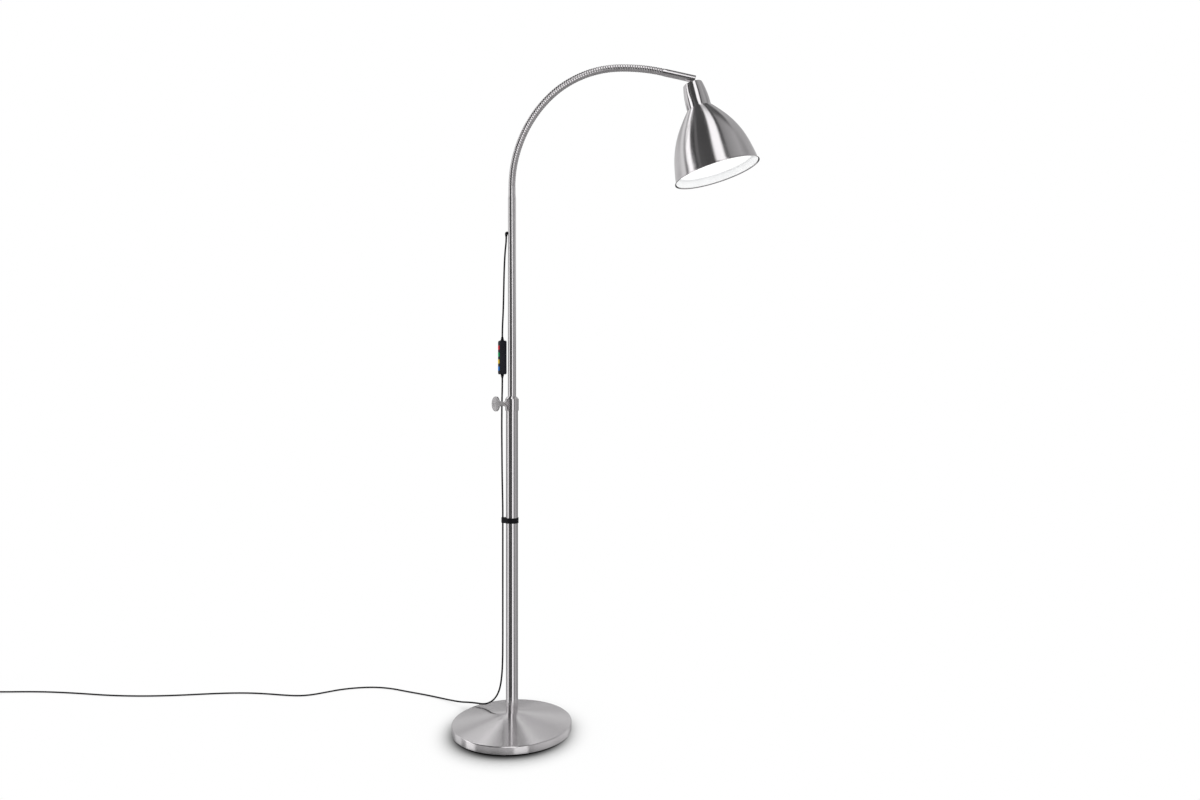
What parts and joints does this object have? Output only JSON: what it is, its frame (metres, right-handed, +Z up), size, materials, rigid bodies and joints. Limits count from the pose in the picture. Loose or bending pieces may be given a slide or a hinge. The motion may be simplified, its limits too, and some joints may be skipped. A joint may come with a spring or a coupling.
{
  "type": "gooseneck floor lamp",
  "caption": "Reading floor lamp: round weighted base, telescoping pole with a clamp knob, ribbed gooseneck, tilting and turning bell shade, and a hand controller on its cord.",
  "frame": {"origin": "centre of the underside of the round foot pad, on the floor", "axes": "+Z up along the pole, +X towards the lamp head, +Y away from the viewer"},
  "size_m": [2.1437, 0.4153, 1.5651],
  "materials": {
    "satin_steel": "satin brushed",
    "hose_steel": "satin, wound strip",
    "bright_steel": "polished",
    "white_enamel": "gloss",
    "cast_iron": "rough, painted",
    "sink_aluminium": "as cast",
    "black_rubber": "matt",
    "black_plastic": "fine texture",
    "nylon": "matt",
    "circuit_board": "lacquered",
    "led_phosphor": "gloss",
    "opal_diffuser": "opal",
    "red_key": "satin",
    "green_key": "satin",
    "yellow_key": "satin",
    "blue_key": "satin",
    "pin_brass": "nickel-plated"
  },
  "bodies": {
    "root": {"base_cover": "satin_steel", "base_weight": "cast_iron", "foot_pad": "black_rubber", "tube_insert": "bright_steel", "base_bolt": "bright_steel", "lower_tube": "satin_steel", "guide_bush": "nylon", "clamp_collar": "satin_steel", "cord_clip": "black_rubber", "cord_lower": "black_rubber", "cord_coil": "black_rubber", "cord_tie": "black_plastic", "supply_boot": "black_rubber", "power_supply": "black_plastic", "plug_pins": "pin_brass"},
    "clamp_slug": {"clamp_pad": "nylon"},
    "clamp_handle": {"clamp_screw": "bright_steel", "clamp_knob": "satin_steel"},
    "pole_slider": {"tail_bush": "nylon"},
    "upper_pole": {"upper_tube": "satin_steel", "tail_clips": "bright_steel", "neck_ferrule": "satin_steel", "cord_grommet": "black_rubber", "neck_link_01": "hose_steel", "controller_front": "black_plastic", "controller_back": "black_plastic", "controller_board": "circuit_board", "controller_screws": "bright_steel", "controller_boots": "black_rubber", "cord_upper": "black_rubber", "cord_mid": "black_rubber"},
    "red_key": {"red_button": "red_key"},
    "green_key": {"green_button": "green_key"},
    "yellow_key": {"yellow_button": "yellow_key"},
    "blue_key": {"blue_button": "blue_key"},
    "neck_2": {"neck_link_02": "hose_steel"},
    "neck_3": {"neck_link_03": "hose_steel"},
    "neck_4": {"neck_link_04": "hose_steel"},
    "neck_5": {"neck_link_05": "hose_steel"},
    "neck_6": {"neck_link_06": "hose_steel"},
    "neck_7": {"neck_link_07": "hose_steel"},
    "neck_8": {"neck_link_08": "hose_steel"},
    "neck_9": {"neck_link_09": "hose_steel"},
    "neck_10": {"neck_link_10": "hose_steel", "end_ferrule": "bright_steel", "knuckle_lug": "bright_steel", "knuckle_pin": "bright_steel"},
    "knuckle": {"knuckle_eye": "bright_steel", "swivel_washer": "bright_steel", "swivel_nut": "bright_steel"},
    "head": {"socket_cap": "satin_steel", "shade": "satin_steel", "heat_sink": "sink_aluminium", "head_screws": "bright_steel", "led_board": "circuit_board", "led_chips": "led_phosphor", "diffuser": "opal_diffuser", "diffuser_ring": "white_enamel"}
  },
  "joints": [
    {"name": "clamp_advance", "type": "slide", "parent": "root", "child": "clamp_slug", "axis": [-0.809, -0.5878, 0], "range_m": [0, 0.0025]},
    {"name": "clamp_turn", "type": "hinge", "parent": "clamp_slug", "child": "clamp_handle", "pos_m": [-0.02427, -0.01763, 0.767], "axis": [-0.809, -0.5878, 0], "range_deg": [0, 720]},
    {"name": "pole_slide", "type": "slide", "parent": "root", "child": "pole_slider", "axis": [0, 0, 1], "range_m": [-0.26, 0.165], "deforming": ["cord_mid"]},
    {"name": "pole_swivel", "type": "hinge", "parent": "pole_slider", "child": "upper_pole", "pos_m": [0, 0, 0.56], "axis": [0, 0, 1], "range_deg": [-90, 90], "deforming": ["cord_mid"]},
    {"name": "red_press", "type": "slide", "parent": "upper_pole", "child": "red_key", "axis": [0.9397, 0.342, 0], "range_m": [0, 0.0006], "stiffness_N_per_m": 300, "springref_m": -0.0006},
    {"name": "green_press", "type": "slide", "parent": "upper_pole", "child": "green_key", "axis": [0.9397, 0.342, 0], "range_m": [0, 0.0006], "stiffness_N_per_m": 300, "springref_m": -0.0006},
    {"name": "yellow_press", "type": "slide", "parent": "upper_pole", "child": "yellow_key", "axis": [0.9397, 0.342, 0], "range_m": [0, 0.0006], "stiffness_N_per_m": 300, "springref_m": -0.0006},
    {"name": "blue_press", "type": "slide", "parent": "upper_pole", "child": "blue_key", "axis": [0.9397, 0.342, 0], "range_m": [0, 0.0006], "stiffness_N_per_m": 300, "springref_m": -0.0006},
    {"name": "neck_bend_1", "type": "hinge", "parent": "upper_pole", "child": "neck_2", "pos_m": [0.00454, 0, 1.32881], "axis": [0, 1, 0], "range_deg": [-12, 12]},
    {"name": "neck_sway_1", "type": "hinge", "parent": "neck_2", "child": "neck_3", "pos_m": [0.01801, 0, 1.37904], "axis": [0.9395, 0, -0.3424], "range_deg": [-10, 10]},
    {"name": "neck_bend_2", "type": "hinge", "parent": "neck_3", "child": "neck_4", "pos_m": [0.04002, 0, 1.42616], "axis": [0, 1, 0], "range_deg": [-12, 12]},
    {"name": "neck_sway_2", "type": "hinge", "parent": "neck_4", "child": "neck_5", "pos_m": [0.06988, 0, 1.46874], "axis": [0.7655, 0, -0.6434], "range_deg": [-10, 10]},
    {"name": "neck_bend_3", "type": "hinge", "parent": "neck_5", "child": "neck_6", "pos_m": [0.10716, 0, 1.50496], "axis": [0, 1, 0], "range_deg": [-12, 12]},
    {"name": "neck_sway_3", "type": "hinge", "parent": "neck_6", "child": "neck_7", "pos_m": [0.15125, 0, 1.53249], "axis": [0.4362, 0, -0.8999], "range_deg": [-10, 10]},
    {"name": "neck_bend_4", "type": "hinge", "parent": "neck_7", "child": "neck_8", "pos_m": [0.20017, 0, 1.55005], "axis": [0, 1, 0], "range_deg": [-12, 12]},
    {"name": "neck_sway_4", "type": "hinge", "parent": "neck_8", "child": "neck_9", "pos_m": [0.2517, 0, 1.55685], "axis": [0.0275, 0, -0.9996], "range_deg": [-10, 10]},
    {"name": "neck_bend_5", "type": "hinge", "parent": "neck_9", "child": "neck_10", "pos_m": [0.30371, 0, 1.55511], "axis": [0, 1, 0], "range_deg": [-12, 12]},
    {"name": "shade_tilt", "type": "hinge", "parent": "neck_10", "child": "knuckle", "pos_m": [0.42393, 0, 1.52097], "axis": [0, 1, 0], "range_deg": [-31, 36]},
    {"name": "shade_swivel", "type": "hinge", "parent": "knuckle", "child": "head", "pos_m": [0.42393, 0, 1.52097], "axis": [0.2672, 0, -0.9636], "range_deg": [-175, 175]}
  ],
  "couplings": [
    {"joint": "clamp_turn", "follows": "clamp_advance", "rad_per_m": 5026.5}
  ]
}
